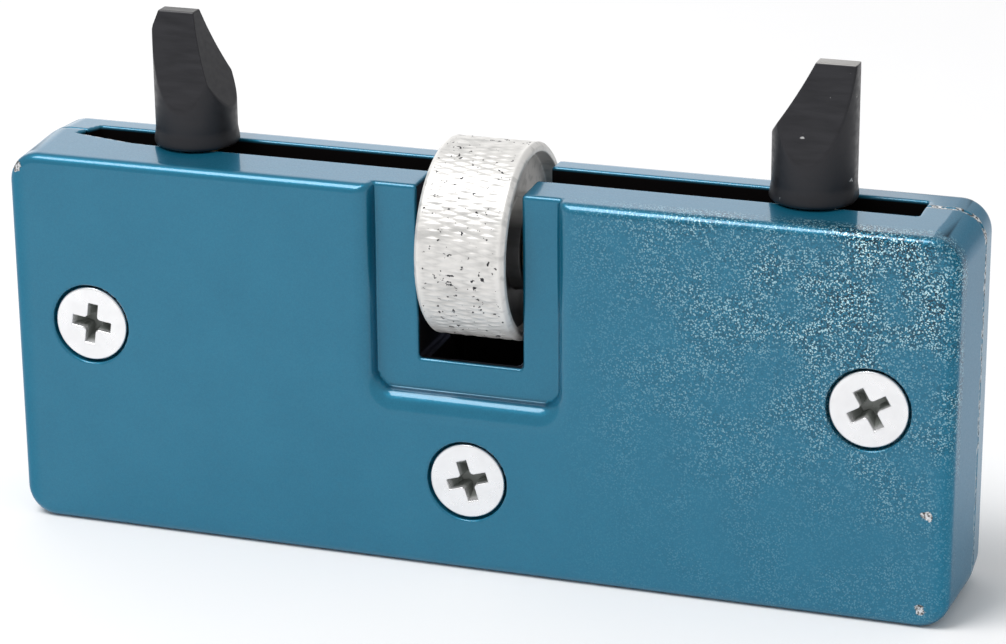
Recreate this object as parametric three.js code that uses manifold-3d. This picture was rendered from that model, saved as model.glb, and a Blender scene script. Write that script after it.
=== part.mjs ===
// Case back opener: a pocket wrench whose two claws move apart and together on one lead screw.
// Millimetres. X runs along the case, -Y is the front with the screws, +Z is up towards the claws.
// The origin is under the middle of the wheel, on the surface that the case stands on.

import * as THREE from 'three';
import { mergeVertices } from 'three/addons/utils/BufferGeometryUtils.js';
import Module from 'manifold-3d';

const wasm = await Module();
wasm.setup();

// ---- driving dimensions -------------------------------------------------------------------------

// case, cast with draft: it is longest at the seam and highest at the slot
const caseLength = 66;
const caseHeight = 26.56;
const caseDepth = 10.4;
const endDraft = 0.059;
const topDraft = 0.026;
const cornerRadius = 2.1;
const frontEdgeRadius = 0.66;
const rearEdgeRadius = 1.7;
const sideWall = 1.8;
const topWall = 1.6;
const bottomWall = 2;
const faceWall = 1.8;
const seamGap = 0.04;

// places measured back from the front face
const axleBehindFront = 5.4;
const seamBehindFront = 6.26;
const slotBehindFront = 5.79;

// slot in the top wall
const slotWidth = 3.1;
const slotHalfLengthFront = 28.7;
const slotHalfLengthSeam = 29.05;
const slotHalfLengthRear = 29;
const slotLeftCorner = 29.8;
const slotLeftTaper = 4.8;
const slotLeftStep = 1.1;

// wheel window and the thumb recess around it
const windowWidth = 7.26;
const windowBottom = 14.44;
const recessWidth = 12.7;
const recessBottom = 11.75;
const recessDepth = 1.08;
const recessFlare = 0.45;
const recessCorner = 1.1;

// inside of the case
const webThickness = 1.8;
const shelfTop = 18.1;
const shelfThickness = 1.3;
const bearingLedge = 0.7;
const bossRadius = 2.6;

// wheel and lead screw, an M3.5 thread of 0.6 mm pitch cut left-handed on the left half
const axleHeight = 21.86;
const wheelRadius = 6.64;
const wheelWidth = 6.22;
const wheelChamfer = 0.3;
const rimInnerRadius = 5.9;
const hubRadius = 3.2;
const dishDepth = 1;
const screwRadius = 1.75;
const journalRadius = 1.25;
const runningClearance = 0.05;
const wheelPinRadius = 0.55;
const wheelPinLow = -3.7;
const wheelPinHigh = 3.3;
const wheelPinBlindEnd = 3.5;
const washerThickness = 0.4;
const washerRadius = 3;
const washerClearance = 0.06;

// end bearings
const bearingThickness = 2.1;
const bearingShoulder = 29;
const fitGap = 0.05;

// carriages and claws
const clawLeftX = -21.12;
const clawRightX = 21.84;
const carriageLength = 6;
const carriageGap = 0.15;
const collarRadius = 1.4;
const collarTop = 26.4;
const postRadius = 1.2;
const postTop = 29.8;
const clawBase = 26.61;
const clawTop = 35.7;
const clawRadius = 2.78;
const clawFlareRadius = 2.9;
const clawFlareStart = 26.9;
const clawFlareEnd = 27.9;
const bladeThickness = 1.1;
const wedgeBottom = 29.3;
const slantBottomLeft = 29.3;
const slantBottomRight = 30.9;
const slantGrindRadius = 22;
const tipInnerLeft = 0.28;
const tipInnerRight = -0.05;
const cornerLossLeft = 0.5;
const cornerLossHeight = 1.6;
const setScrewRadius = 0.78;
const setScrewHeight = 28.1;

// fasteners
const sideScrewX = 27.04;
const sideScrewZ = 14.67;
const bottomScrewZ = 6.43;
const screwLength = 8;
const screwHeadRadius = 2.6;
const screwHeadLand = 0.25;
const screwHeadDepth = 1.4;
const screwSink = 0.12;
const screwShankRadius = 1.45;
const dowelX = 28;
const dowelZ = 5.2;
const dowelRadius = 1;
const dowelBossRadius = 1.95;

// ---- derived places -----------------------------------------------------------------------------

const frontY = -axleBehindFront;
const rearY = frontY + caseDepth;
const seamY = frontY + seamBehindFront;
const slotY = frontY + slotBehindFront;
const chamberFrontY = frontY + faceWall;
const chamberRearY = rearY - faceWall;
const chamberTop = caseHeight - topWall;
const chamberEndX = caseLength / 2 - sideWall;
const webOuterX = windowWidth / 2 + webThickness;
const screwHoleEndY = rearY - 1.4;
const wheelHalf = wheelWidth / 2;

// ---- geometry helpers ---------------------------------------------------------------------------

const X = new THREE.Vector3(1, 0, 0);
const Y = new THREE.Vector3(0, 1, 0);
const Z = new THREE.Vector3(0, 0, 1);

// A closed geometry as a solid that can be joined and cut.
function toSolid(geometry) {
  geometry.deleteAttribute('normal');
  geometry.deleteAttribute('uv');
  const merged = mergeVertices(geometry, 1e-4);
  return new wasm.Manifold(new wasm.Mesh({
    numProp: 3,
    vertProperties: merged.attributes.position.array,
    triVerts: merged.index.array,
  }));
}

function toGeometry(solid) {
  const mesh = solid.getMesh();
  const geometry = new THREE.BufferGeometry();
  geometry.setAttribute('position', new THREE.BufferAttribute(mesh.vertProperties, 3));
  geometry.setIndex(new THREE.BufferAttribute(mesh.triVerts, 1));
  geometry.computeVertexNormals();
  return geometry;
}

const join = (solids) => solids.reduce((sum, solid) => sum.add(solid));
const cut = (solid, tools) => tools.reduce((rest, tool) => rest.subtract(tool), solid);

function box([x0, x1], [y0, y1], [z0, z1]) {
  const geometry = new THREE.BoxGeometry(x1 - x0, y1 - y0, z1 - z0);
  geometry.translate((x0 + x1) / 2, (y0 + y1) / 2, (z0 + z1) / 2);
  return toSolid(geometry);
}

// A skin over rings of points: each section is a Y and a ring of [x, z], all rings with as many points.
// Rings run anticlockwise seen from the front, and the first and last ring are convex.
function loft(sections) {
  const count = sections[0].ring.length;
  const last = (sections.length - 1) * count;
  const positions = sections.flatMap(({ y, ring }) => ring.flatMap(([x, z]) => [x, y, z]));
  const triangles = [];
  for (let start = 0; start < last; start += count) {
    for (let i = 0; i < count; i += 1) {
      const near = start + i;
      const next = start + (i + 1) % count;
      triangles.push(near, near + count, next, next, near + count, next + count);
    }
  }
  for (let i = 1; i < count - 1; i += 1) {
    triangles.push(0, i, i + 1);
    triangles.push(last, last + i + 1, last + i);
  }
  return new wasm.Manifold(new wasm.Mesh({
    numProp: 3,
    vertProperties: new Float32Array(positions),
    triVerts: new Uint32Array(triangles),
  }));
}

// A range on the left or right of the middle: side is -1 or 1, near and far are distances.
const reach = (side, near, far) => (side > 0 ? [near, far] : [-far, -near]);

// An extrusion along X of a shape drawn in (y, z), along Y of one in (x, z), or along Z of one in (x, y).
function extrude(shape, axis, low, high, options = { bevelEnabled: false }) {
  const bevel = options.bevelThickness ?? 0;
  const geometry = new THREE.ExtrudeGeometry(shape, { depth: high - low - 2 * bevel, ...options });
  geometry.translate(0, 0, bevel);
  if (axis === X) {
    geometry.applyMatrix4(new THREE.Matrix4().makeBasis(Y, Z, X));
    geometry.translate(low, 0, 0);
  } else if (axis === Y) {
    geometry.applyMatrix4(new THREE.Matrix4().makeBasis(X, Z, Y.clone().negate()));
    geometry.translate(0, high, 0);
  } else {
    geometry.translate(0, 0, low);
  }
  return toSolid(geometry);
}

const polygon = (points) => new THREE.Shape(points.map(([u, v]) => new THREE.Vector2(u, v)));

// A rectangle with rounded corners, standing on v = bottom and centred on u = 0.
function roundedRectangle(width, bottom, top, radius) {
  const right = width / 2;
  const shape = new THREE.Shape();
  shape.moveTo(radius - right, bottom);
  shape.absarc(right - radius, bottom + radius, radius, -Math.PI / 2, 0);
  shape.absarc(right - radius, top - radius, radius, 0, Math.PI / 2);
  shape.absarc(radius - right, top - radius, radius, Math.PI / 2, Math.PI);
  shape.absarc(radius - right, bottom + radius, radius, Math.PI, Math.PI * 1.5);
  return shape;
}

// A turned piece: the profile is (radius, distance along the axis), at the point [x, y, z].
function turned(profile, axis, [x, y, z], segments = 32) {
  const points = profile.map(([radius, along]) => new THREE.Vector2(radius, along));
  const geometry = new THREE.LatheGeometry(points, segments);
  if (axis === X) geometry.rotateZ(-Math.PI / 2);
  if (axis === Z) geometry.rotateX(Math.PI / 2);
  geometry.translate(x, y, z);
  return toSolid(geometry);
}

const rod = (radius, low, high, axis, at, segments) =>
  turned([[0, low], [radius, low], [radius, high], [0, high]], axis, at, segments);

const tube = (inner, outer, low, high, axis, at, segments) =>
  turned([[inner, low], [outer, low], [outer, high], [inner, high], [inner, low]], axis, at, segments);

// ---- case shells --------------------------------------------------------------------------------

// The case's outline at one Y, drawn in by inset all round. The ends lean in away from the seam and
// the top falls away from the slot, while the bottom stays flat.
function caseRing(y, inset) {
  const right = caseLength / 2 - endDraft * Math.abs(y - seamY) - inset;
  const top = caseHeight - topDraft * Math.abs(y - slotY) - inset;
  const radius = cornerRadius - inset;
  const corners = [
    [right - radius, inset + radius, -90],
    [right - radius, top - radius, 0],
    [radius - right, top - radius, 90],
    [radius - right, inset + radius, 180],
  ];
  const steps = [0, 22.5, 45, 67.5, 90];
  return corners.flatMap(([x, z, start]) => steps.map((step) => {
    const angle = THREE.MathUtils.degToRad(start + step);
    return [x + radius * Math.cos(angle), z + radius * Math.sin(angle)];
  }));
}

// The whole rounded block, its front edges rounded by frontEdgeRadius and its rear ones by rearEdgeRadius.
function caseBlock() {
  const steps = [0, 22.5, 45, 67.5, 90].map(THREE.MathUtils.degToRad);
  const section = (y, inset) => ({ y, ring: caseRing(y, inset) });
  const rounding = (radius, faceY, inward) => steps.map((angle) =>
    section(faceY + inward * radius * (1 - Math.cos(angle)), radius * (1 - Math.sin(angle))));
  return loft([
    ...rounding(frontEdgeRadius, frontY, 1),
    section(slotY, 0),
    section(seamY, 0),
    ...rounding(rearEdgeRadius, rearY, -1).reverse(),
  ]);
}

const screwPlaces = [[-sideScrewX, sideScrewZ], [sideScrewX, sideScrewZ], [0, bottomScrewZ]];
const dowelPlaces = [[-dowelX, dowelZ], [dowelX, dowelZ]];

// What stands between the two faces inside: webs beside the wheel, carriage shelves, ledges and bosses.
// The walls overlap each other and the shell by overlap, and the window trims the webs' inner faces.
function innerWalls() {
  const overlap = 0.5;
  const depth = [chamberFrontY - overlap, chamberRearY + overlap];
  const walls = [];
  for (const side of [-1, 1]) {
    const webX = reach(side, windowWidth / 2 - overlap, webOuterX);
    const shelfX = reach(side, windowWidth / 2, chamberEndX + overlap);
    const ledgeX = reach(side, bearingShoulder, chamberEndX + overlap);
    walls.push(box(webX, depth, [bottomWall - overlap, chamberTop + overlap]));
    walls.push(box(shelfX, depth, [shelfTop - shelfThickness, shelfTop]));
    walls.push(box(ledgeX, depth, [shelfTop - overlap, shelfTop + bearingLedge]));
  }
  for (const [x, z] of screwPlaces) walls.push(rod(bossRadius, ...depth, Y, [x, 0, z], 24));
  for (const [x, z] of dowelPlaces) walls.push(rod(dowelBossRadius, ...depth, Y, [x, 0, z], 20));
  return join(walls);
}

function chamber() {
  const space = box([-chamberEndX, chamberEndX], [chamberFrontY, chamberRearY], [bottomWall, chamberTop]);
  return space.subtract(innerWalls());
}

// The slot for the claws: its front notch flares towards the seam at the right end and narrows to a
// corner at the left end, and its rear notch is square.
function slot() {
  const slotFrontY = slotY - slotWidth / 2;
  const notch = polygon([
    [slotLeftTaper - slotLeftCorner, slotFrontY],
    [slotHalfLengthFront, slotFrontY],
    [slotHalfLengthSeam, seamY],
    [slotHalfLengthRear, seamY + seamGap],
    [slotHalfLengthRear, slotY + slotWidth / 2],
    [-slotHalfLengthRear, slotY + slotWidth / 2],
    [-slotHalfLengthRear, seamY + seamGap],
    [-slotHalfLengthSeam, seamY],
    [-slotLeftCorner, slotFrontY + slotLeftStep],
  ]);
  return extrude(notch, Z, chamberTop - 1, caseHeight + 1);
}

const wheelWindow = () => box(
  [-windowWidth / 2, windowWidth / 2], [frontY - 1, rearY + 1], [windowBottom, caseHeight + 1]);

// The shallow U around the window on one face, open at the top, with flared walls.
function thumbRecess(low, high) {
  const outline = roundedRectangle(recessWidth, recessBottom, caseHeight + 5, recessCorner);
  return extrude(outline, Y, low, high, {
    bevelThickness: recessDepth,
    bevelSize: recessFlare,
    bevelSegments: 3,
    curveSegments: 4,
  });
}

// The lead screw's passage through both webs, open towards the seam so that it can be laid in.
function screwPassage() {
  const radius = screwRadius + 0.25;
  const notch = new THREE.Shape();
  notch.moveTo(radius, axleHeight - radius);
  notch.lineTo(radius, axleHeight + radius);
  notch.lineTo(0, axleHeight + radius);
  notch.absarc(0, axleHeight, radius, Math.PI / 2, Math.PI * 1.5);
  return extrude(notch, X, -webOuterX - 1, webOuterX + 1);
}

// A countersunk hole through the front shell that carries on as a blind tapping hole in the rear one.
function screwHole([x, z]) {
  const mouth = screwHeadRadius + 0.2;
  const clearance = screwShankRadius + 0.2;
  const profile = [
    [0, frontY - 1],
    [mouth, frontY - 1],
    [mouth, frontY + screwSink + screwHeadLand],
    [clearance, frontY + screwSink + screwHeadDepth],
    [clearance, seamY + seamGap / 2],
    [screwShankRadius + fitGap, seamY + seamGap / 2],
    [screwShankRadius + fitGap, screwHoleEndY],
    [0, screwHoleEndY],
  ];
  return turned(profile, Y, [x, 0, z], 32);
}

const dowelHole = ([x, z]) =>
  rod(dowelRadius + 0.02, chamberFrontY + 1, rearY - 1.4, Y, [x, 0, z], 20);

function caseShell([low, high]) {
  const past = caseLength;
  const block = caseBlock().intersect(box([-past, past], [low, high], [-past, past]));
  return cut(block, [
    chamber(),
    wheelWindow(),
    thumbRecess(frontY - 5, frontY + recessDepth),
    thumbRecess(rearY - recessDepth, rearY + 5),
    slot(),
    screwPassage(),
    ...screwPlaces.map(screwHole),
    ...dowelPlaces.map(dowelHole),
  ]);
}

const frontShell = () => caseShell([frontY - 1, seamY]);
const rearShell = () => caseShell([seamY + seamGap, rearY + 1]);

// ---- wheel and lead screw, about the axle at their own origin -----------------------------------

function adjustingWheel() {
  const dishFace = wheelHalf - dishDepth;
  const halfProfile = [
    [screwRadius + runningClearance, wheelHalf],
    [hubRadius, wheelHalf],
    [hubRadius, dishFace],
    [rimInnerRadius, dishFace],
    [rimInnerRadius + 0.2, wheelHalf],
    [wheelRadius - wheelChamfer, wheelHalf],
    [wheelRadius, wheelHalf - wheelChamfer],
  ];
  const mirrored = halfProfile.map(([radius, along]) => [radius, -along]);
  const profile = [...mirrored, ...halfProfile.reverse(), mirrored[0]];
  return turned(profile, X, [0, 0, 0], 64).subtract(wheelPinHole());
}

const wheelPinHole = () =>
  rod(wheelPinRadius + runningClearance, -wheelRadius - 1, wheelPinBlindEnd, Z, [0, 0, 0], 16);

function leadScrew() {
  const shoulder = bearingShoulder - 0.1;
  const end = bearingShoulder + bearingThickness;
  const halfProfile = [
    [screwRadius, shoulder - 0.4],
    [screwRadius - 0.4, shoulder],
    [journalRadius, shoulder],
    [journalRadius, end - 0.3],
    [journalRadius - 0.3, end],
    [0, end],
  ];
  const mirrored = halfProfile.map(([radius, along]) => [radius, -along]).reverse();
  return turned([...mirrored, ...halfProfile], X, [0, 0, 0], 32).subtract(wheelPinHole());
}

const wheelPin = () => rod(wheelPinRadius, wheelPinLow, wheelPinHigh, Z, [0, 0, 0], 16);

function thrustWasher(side) {
  const near = wheelHalf + washerClearance;
  const [low, high] = reach(side, near, near + washerThickness);
  return tube(screwRadius + runningClearance, washerRadius, low, high, X, [0, 0, 0]);
}

function endBearing(side) {
  const plate = box(
    reach(side, bearingShoulder, bearingShoulder + bearingThickness),
    [chamberFrontY + fitGap, chamberRearY - fitGap],
    [shelfTop + bearingLedge + fitGap, chamberTop - fitGap],
  );
  const bore = rod(journalRadius + runningClearance, -caseLength, caseLength, X, [0, 0, axleHeight]);
  return plate.subtract(bore);
}

// ---- carriages and claws, about X = 0 -----------------------------------------------------------

// A tapped block on the lead screw, with a round collar that slides in the slot and a post for the claw.
function carriage() {
  const block = box(
    [-carriageLength / 2, carriageLength / 2],
    [chamberFrontY + carriageGap, chamberRearY - carriageGap],
    [shelfTop + carriageGap, chamberTop - carriageGap],
  );
  const collar = rod(collarRadius, chamberTop - 1, collarTop, Z, [0, slotY, 0], 32);
  const post = rod(postRadius, collarTop - 1, postTop, Z, [0, slotY, 0], 24);
  const thread = rod(screwRadius + runningClearance, -caseLength, caseLength, X, [0, 0, axleHeight], 32);
  return join([block, collar, post]).subtract(thread);
}

// A turned steel claw, ground to a blade: two wedge flats and, towards the wheel, a hollow slant down
// to slantBottom. inward is the direction of the wheel along X, tipInner is how far the blade reaches
// past the claw's own axis that way, and cornerLoss is what is ground off the outer corner.
function claw({ inward, tipInner, slantBottom, cornerLoss }) {
  const shank = turned([
    [0, clawBase],
    [clawFlareRadius, clawBase],
    [clawFlareRadius, clawFlareStart],
    [(clawFlareRadius + clawRadius) / 2, (clawFlareStart + clawFlareEnd) / 2 - 0.2],
    [clawRadius, clawFlareEnd],
    [clawRadius, clawTop],
    [0, clawTop],
  ], Z, [0, slotY, 0], 32);
  const postHole = rod(postRadius + runningClearance, clawBase - 1, postTop + 0.2, Z, [0, slotY, 0], 24);
  const setScrewHole = rod(setScrewRadius + runningClearance, 0, 4, Y, [0, slotY, setScrewHeight], 16);
  const grinds = [wedgeFlat(-1), wedgeFlat(1), hollowSlant(inward, tipInner, slantBottom)];
  if (cornerLoss > 0) grinds.push(outerCorner(inward, cornerLoss));
  return cut(shank, [...grinds, postHole, setScrewHole]);
}

// Ground away on the front (side -1) or the back (side 1): past the blade's face at the top,
// past the shank's own surface at wedgeBottom.
function wedgeFlat(side) {
  const far = 5;
  const slope = (clawRadius - bladeThickness / 2) / (clawTop - wedgeBottom);
  const overshoot = 1;
  return extrude(polygon([
    [slotY + side * (bladeThickness / 2 - slope * overshoot), clawTop + overshoot],
    [slotY + side * (clawRadius + slope * overshoot), wedgeBottom - overshoot],
    [slotY + side * far, wedgeBottom - overshoot],
    [slotY + side * far, clawTop + overshoot],
  ]), X, -far, far);
}

// The round grinding wheel's bite between the blade's inner corner and the shank at slantBottom.
function hollowSlant(inward, tipInner, slantBottom) {
  const across = clawRadius - tipInner;
  const down = clawTop - slantBottom;
  const chord = Math.hypot(across, down);
  const stand = Math.sqrt(slantGrindRadius ** 2 - (chord / 2) ** 2);
  const x = (tipInner + clawRadius) / 2 + stand * down / chord;
  const z = (clawTop + slantBottom) / 2 + stand * across / chord;
  return rod(slantGrindRadius, slotY - 5, slotY + 5, Y, [inward * x, 0, z], 160);
}

// A slanted cut that takes loss off the blade's outer top corner, away from the wheel.
function outerCorner(inward, loss) {
  const slope = loss / cornerLossHeight;
  const overshoot = 1;
  return extrude(polygon([
    [-inward * (clawRadius - loss - slope * overshoot), clawTop + overshoot],
    [-inward * (clawRadius + slope * overshoot), clawTop - cornerLossHeight - overshoot],
    [-inward * 5, clawTop - cornerLossHeight - overshoot],
    [-inward * 5, clawTop + overshoot],
  ]), Y, slotY - 5, slotY + 5);
}

// A headless screw in the back of the claw that bears on the carriage's post.
function clawSetScrew() {
  const body = rod(setScrewRadius, postRadius + 0.06, clawRadius + 0.1, Y, [0, slotY, setScrewHeight], 16);
  const socket = rod(0.45, clawRadius - 0.6, clawRadius + 1, Y, [0, slotY, setScrewHeight], 6);
  return body.subtract(socket);
}

// ---- fasteners ----------------------------------------------------------------------------------

// A countersunk cross-recess screw, its cross turned by the given angle about Y.
function coverScrew([x, z], crossAngle) {
  const top = frontY + screwSink;
  const tip = top + screwLength;
  const body = turned([
    [0, top],
    [screwHeadRadius, top],
    [screwHeadRadius, top + screwHeadLand],
    [screwShankRadius, top + screwHeadDepth],
    [screwShankRadius, tip - 0.4],
    [screwShankRadius - 0.4, tip],
    [0, tip],
  ], Y, [x, 0, z], 32);
  const bars = [0, Math.PI / 2].map((quarter) => {
    const bar = new THREE.BoxGeometry(3, 2.2, 0.7);
    bar.rotateY(quarter + crossAngle);
    bar.translate(x, top, z);
    return toSolid(bar);
  });
  return cut(body, bars);
}

const dowel = ([x, z]) => rod(dowelRadius, chamberFrontY + 1.1, rearY - 1.5, Y, [x, 0, z], 20);

// ---- materials ----------------------------------------------------------------------------------

const metal = (color, roughness, metalness = 1) =>
  new THREE.MeshStandardMaterial({ color, roughness, metalness, flatShading: true });

const blueEnamel = metal(0x3f7d99, 0.35, 0.55);
const knurledAluminium = metal(0xdedbd6, 0.45);
const brightSteel = metal(0xb9bcc0, 0.3);
const blackenedSteel = metal(0x2c2d31, 0.4);
const zincPlate = metal(0xd5d7da, 0.25);
const brass = metal(0xb08d4c, 0.35);

// ---- assembly -----------------------------------------------------------------------------------

function named(name, solid, material) {
  const mesh = new THREE.Mesh(toGeometry(solid), material);
  mesh.name = name;
  return mesh;
}

function groupAt([x, y, z], meshes) {
  const group = new THREE.Group();
  group.position.set(x, y, z);
  group.add(...meshes);
  return group;
}

const caseGroup = groupAt([0, 0, 0], [
  named('front_shell', frontShell(), blueEnamel),
  named('rear_shell', rearShell(), blueEnamel),
  named('cover_screw_left', coverScrew(screwPlaces[0], 0.14), zincPlate),
  named('cover_screw_right', coverScrew(screwPlaces[1], -0.52), zincPlate),
  named('cover_screw_bottom', coverScrew(screwPlaces[2], -0.3), zincPlate),
  named('dowel_left', dowel(dowelPlaces[0]), brightSteel),
  named('dowel_right', dowel(dowelPlaces[1]), brightSteel),
  named('end_bearing_left', endBearing(-1), brass),
  named('end_bearing_right', endBearing(1), brass),
]);

const wheelGroup = groupAt([0, 0, axleHeight], [
  named('adjusting_wheel', adjustingWheel(), knurledAluminium),
  named('lead_screw', leadScrew(), brightSteel),
  named('wheel_pin', wheelPin(), brightSteel),
  named('thrust_washer_left', thrustWasher(-1), brass),
  named('thrust_washer_right', thrustWasher(1), brass),
]);

const leftGrind = {
  inward: 1,
  tipInner: tipInnerLeft,
  slantBottom: slantBottomLeft,
  cornerLoss: cornerLossLeft,
};

const rightGrind = {
  inward: -1,
  tipInner: tipInnerRight,
  slantBottom: slantBottomRight,
  cornerLoss: 0,
};

const jawGroup = (side, x, grind) => groupAt([x, 0, 0], [
  named(`carriage_${side}`, carriage(), brass),
  named(`claw_${side}`, claw(grind), blackenedSteel),
  named(`claw_set_screw_${side}`, clawSetScrew(), blackenedSteel),
]);

const opener = new THREE.Group();
opener.add(
  caseGroup,
  wheelGroup,
  jawGroup('left', clawLeftX, leftGrind),
  jawGroup('right', clawRightX, rightGrind),
);

export default opener;
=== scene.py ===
"""Looks of a case back opener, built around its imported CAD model.

Shapes are signed distance fields in millimetres, in the row frame: negative inside, positive outside.
Each field is turned into a mesh, moved onto the exact surface, thinned, and given the field's normals.
"""

import math

import bpy
import numpy as np
from mathutils import Matrix, Vector


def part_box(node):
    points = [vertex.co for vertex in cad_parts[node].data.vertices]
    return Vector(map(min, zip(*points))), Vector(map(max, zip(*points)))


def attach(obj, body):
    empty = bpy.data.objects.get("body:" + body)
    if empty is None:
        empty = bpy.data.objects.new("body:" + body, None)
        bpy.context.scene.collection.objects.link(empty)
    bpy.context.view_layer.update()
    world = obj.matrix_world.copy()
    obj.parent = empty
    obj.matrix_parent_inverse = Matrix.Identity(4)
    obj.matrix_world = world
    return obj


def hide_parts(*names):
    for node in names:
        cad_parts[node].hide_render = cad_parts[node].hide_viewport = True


MM = 0.001
SIDES = {"left": -1, "right": 1}

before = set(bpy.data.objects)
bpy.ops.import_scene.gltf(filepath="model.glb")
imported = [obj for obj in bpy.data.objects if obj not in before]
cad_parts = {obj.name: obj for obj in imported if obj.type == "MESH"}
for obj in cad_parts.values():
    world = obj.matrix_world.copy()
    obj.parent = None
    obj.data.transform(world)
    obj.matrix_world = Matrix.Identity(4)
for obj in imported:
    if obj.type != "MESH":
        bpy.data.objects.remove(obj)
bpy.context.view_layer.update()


# ---- places and sizes read from the frame, in millimetres ---------------------------------------

def extent(node):
    low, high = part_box(node)
    return np.array(low) / MM, np.array(high) / MM


def middle(node):
    low, high = extent(node)
    return (low + high) / 2


def size(node):
    low, high = extent(node)
    return high - low


FRONT_LOW, FRONT_HIGH = extent("front_shell")
REAR_LOW, REAR_HIGH = extent("rear_shell")
FRONT_Y, SEAM_Y, REAR_Y = FRONT_LOW[1], FRONT_HIGH[1], REAR_HIGH[1]
HALF_LENGTH, TOP_Z = FRONT_HIGH[0], FRONT_HIGH[2]
AXLE_Z = middle("adjusting_wheel")[2]
WHEEL_RADIUS = size("adjusting_wheel")[2] / 2
WHEEL_HALF = size("adjusting_wheel")[0] / 2
SCREW_RADIUS = size("lead_screw")[2] / 2
SLOT_Y = middle("claw_left")[1]
CLAW_LOW, CLAW_HIGH = extent("claw_left")
CARRIAGE_LOW, CARRIAGE_HIGH = extent("carriage_left")
COVER_SCREWS = {place: middle(f"cover_screw_{place}") for place in ("left", "right", "bottom")}
DOWELS = {side: middle(f"dowel_{side}") for side in SIDES}
SET_SCREW_Z = middle("claw_set_screw_left")[2]
SET_SCREW_RADIUS = size("claw_set_screw_left")[0] / 2

# case details that the frame's boxes don't give
CORNER_RADIUS = 2.1
END_DRAFT = 0.059
TOP_DRAFT = 0.026
FRONT_EDGE = 0.66
REAR_EDGE = 1.7
SEAM_EDGE = 0.07
FACE_WALL = 1.8
TOP_WALL = 1.6
BOTTOM_WALL = 2.0
END_WALL = 1.8
SLOT_WIDTH = 3.1
SLOT_RIGHT = 29.0
SLOT_TIP = (-29.9, 1.1)          # x, and how far behind the slot's front edge
SLOT_TAPER_START = -25.0
SLOT_END_SLOPE = 0.45
WINDOW_HALF = 3.63
WINDOW_BOTTOM = 14.44
WEB_OUTER = 5.43
SHELF_LOW, SHELF_HIGH = 16.8, 18.1
LEDGE_HIGH = 18.8
BOSS_RADIUS = 2.6
RECESS_MIDDLE = -0.15
RECESS_HALF = 6.4
RECESS_BOTTOM = 12.2
RECESS_DEPTH = 1.08
RECESS_CORNER = 1.3
RECESS_SIDE_FLARE = 1.0
RECESS_BOTTOM_FLARE = 1.9
RECESS_CORNER_FLARE = 1.2
HEAD_HOLE_RADIUS = 2.78
HEAD_SINK = 0.12
HEAD_RADIUS = 2.6
RIM_INNER = 6.0
SHANK_RADIUS = 1.45
THREAD_PITCH = 0.6
POST_RADIUS = 1.2
COLLAR_RADIUS = 1.4
CARRIAGE_HALF = 3.0


# ---- distance fields ----------------------------------------------------------------------------

def length(*parts):
    return np.sqrt(sum(part * part for part in parts))


def both(a, b, radius=0.0):
    """Inside a and b. The edge where they meet is rounded."""
    if not radius:
        return np.maximum(a, b)
    corner = length(np.maximum(a + radius, 0), np.maximum(b + radius, 0))
    return np.minimum(-radius, np.maximum(a, b)) + corner


def either(a, b, radius=0.0):
    return -both(-a, -b, radius)


def without(a, b, radius=0.0):
    return both(a, -b, radius)


def span(value, low, high):
    return np.maximum(low - value, value - high)


def rectangle(u, v, u_span, v_span, radius=0.0):
    across = abs(u - sum(u_span) / 2) - (u_span[1] - u_span[0]) / 2 + radius
    up = abs(v - sum(v_span) / 2) - (v_span[1] - v_span[0]) / 2 + radius
    outer = length(np.maximum(across, 0), np.maximum(up, 0))
    return outer + np.minimum(np.maximum(across, up), 0) - radius


def rod(u, v, along, radius, low, high, edge=0.0):
    return both(length(u, v) - radius, span(along, low, high), edge)


def ease(t):
    t = np.clip(t, 0, 1)
    return t * t * (3 - 2 * t)


# ---- meshes from fields -------------------------------------------------------------------------

CORNERS = np.array([(i, j, k) for i in (0, 1) for j in (0, 1) for k in (0, 1)])
CELL_EDGES = [(a, b) for a in range(8) for b in range(a + 1, 8)
              if abs(CORNERS[a] - CORNERS[b]).sum() == 1]
TETRAHEDRON = np.array([(1, -1, -1), (-1, -1, 1), (-1, 1, -1), (1, 1, 1)], float)


def surface_net(field, low, high, step):
    """Vertices and quads of the field's zero surface on a cubic grid."""
    axes = [np.arange(a - 1.6 * step, b + 2.6 * step, step) for a, b in zip(low, high)]
    grid = np.meshgrid(*axes, indexing="ij", sparse=True)
    shape = tuple(len(axis) for axis in axes)
    value = np.ascontiguousarray(np.broadcast_to(field(*grid), shape), dtype=np.float32)
    inside = value < 0
    count = sum(inside[i:shape[0] - 1 + i, j:shape[1] - 1 + j, k:shape[2] - 1 + k].astype(np.uint8)
                for i, j, k in CORNERS)
    active = (count > 0) & (count < 8)
    cells = np.argwhere(active)
    index = np.full(active.shape, -1, np.int32)
    index[active] = np.arange(len(cells))
    corner = [value[tuple((cells + offset).T)] for offset in CORNERS]
    total = np.zeros((len(cells), 3))
    crossings = np.zeros(len(cells))
    for a, b in CELL_EDGES:
        crossed = (corner[a] < 0) != (corner[b] < 0)
        share = np.where(crossed, corner[a] / np.where(crossed, corner[a] - corner[b], 1), 0)
        point = CORNERS[a] + share[:, None] * (CORNERS[b] - CORNERS[a])
        total += point * crossed[:, None]
        crossings += crossed
    origin = np.array([axis[0] for axis in axes])
    vertices = origin + (cells + total / crossings[:, None]) * step
    quads = [cell_quads(inside, index, axis) for axis in range(3)]
    return vertices, np.concatenate(quads)


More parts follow.
